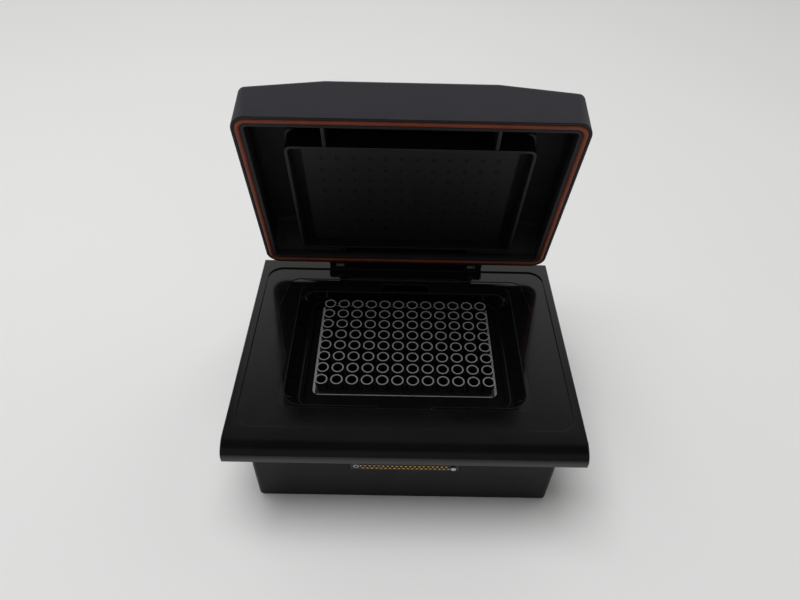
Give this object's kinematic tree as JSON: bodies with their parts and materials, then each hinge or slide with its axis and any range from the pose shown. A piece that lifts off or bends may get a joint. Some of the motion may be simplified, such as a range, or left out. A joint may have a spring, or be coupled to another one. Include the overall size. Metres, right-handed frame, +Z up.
{
  "type": "thermal cycler block module",
  "caption": "Plug-in sample block module of a thermal cycler: a finned, Peltier-heated well block set in a glossy deck, under a hinged heated lid with a sprung heater plate.",
  "frame": {"origin": "on the table under the middle of the well block, at the plane of the case's underside", "axes": "+Z up, +X along the block's long rows to the right, -Y the front with the edge connector, +Y the hinge side"},
  "size_m": [0.196, 0.1718, 0.1994],
  "materials": {
    "case_plastic": "fine moulded texture, black",
    "deck_plastic": "high-gloss moulded, black",
    "surround_plastic": "gloss moulded, black",
    "lid_plastic": "fine spark texture, charcoal",
    "inner_plastic": "smooth matt, black",
    "block_metal": "bead-blasted, dark anodised",
    "sink_metal": "extruded, as machined",
    "sheet_steel": "powder coated, dark grey",
    "screw_steel": "bright zinc plated",
    "pin_steel": "ground",
    "arm_metal": "machined",
    "washer_bronze": "rubbed",
    "contact_gold": "gold plated",
    "seal_rubber": "moulded silicone, black",
    "gasket_rubber": "moulded silicone, rust orange",
    "graphite_sheet": "pressed graphite foil",
    "module_ceramic": "alumina faces",
    "board_laminate": "glass-epoxy laminate, green",
    "heater_metal": "hard anodised, black",
    "heater_rubber": "silicone heater mat",
    "foam_insulation": "pressed mineral fibre"
  },
  "bodies": {
    "base": {"lower_case": "case_plastic", "base_plate": "sheet_steel", "rear_grille": "case_plastic", "case_screws": "screw_steel", "top_deck": "deck_plastic", "block_surround": "surround_plastic", "block_seal": "seal_rubber", "sample_block": "block_metal", "block_sensor": "pin_steel", "clamp_screws": "screw_steel", "upper_thermal_pad": "graphite_sheet", "peltier_modules": "module_ceramic", "lower_thermal_pad": "graphite_sheet", "heat_sink": "sink_metal", "sink_screws": "screw_steel", "control_board": "board_laminate", "board_screws": "screw_steel", "front_connector": "inner_plastic", "contact_pins": "contact_gold", "guide_ring": "pin_steel", "guide_pin": "pin_steel", "hinge_bracket_left": "inner_plastic", "hinge_bracket_right": "inner_plastic", "hinge_pin_left": "pin_steel", "hinge_pin_right": "pin_steel", "friction_washers": "washer_bronze", "hinge_cover": "deck_plastic"},
    "lid": {"lid_shell": "lid_plastic", "lid_gasket": "gasket_rubber", "hinge_arm_left": "arm_metal", "hinge_arm_right": "arm_metal", "arm_screws": "screw_steel", "guide_ribs": "inner_plastic", "heater_carrier": "inner_plastic", "carrier_screws": "screw_steel", "heater_springs": "pin_steel"},
    "heater": {"heater_frame": "inner_plastic", "heater_plate": "heater_metal", "heater_mat": "heater_rubber", "heater_insulation": "foam_insulation", "thermal_cutout": "pin_steel", "shoulder_posts": "screw_steel"}
  },
  "joints": [
    {"name": "lid_hinge", "type": "hinge", "parent": "base", "child": "lid", "pos_m": [0, 0.06375, 0.0679], "axis": [1, 0, 0], "range_deg": [0, 75.4]},
    {"name": "heater_float", "type": "slide", "parent": "lid", "child": "heater", "axis": [0, 0.9677, 0.2521], "range_m": [0, 0.003], "stiffness_N_per_m": 2000, "springref_m": -0.004, "deforming": ["heater_springs"]}
  ]
}
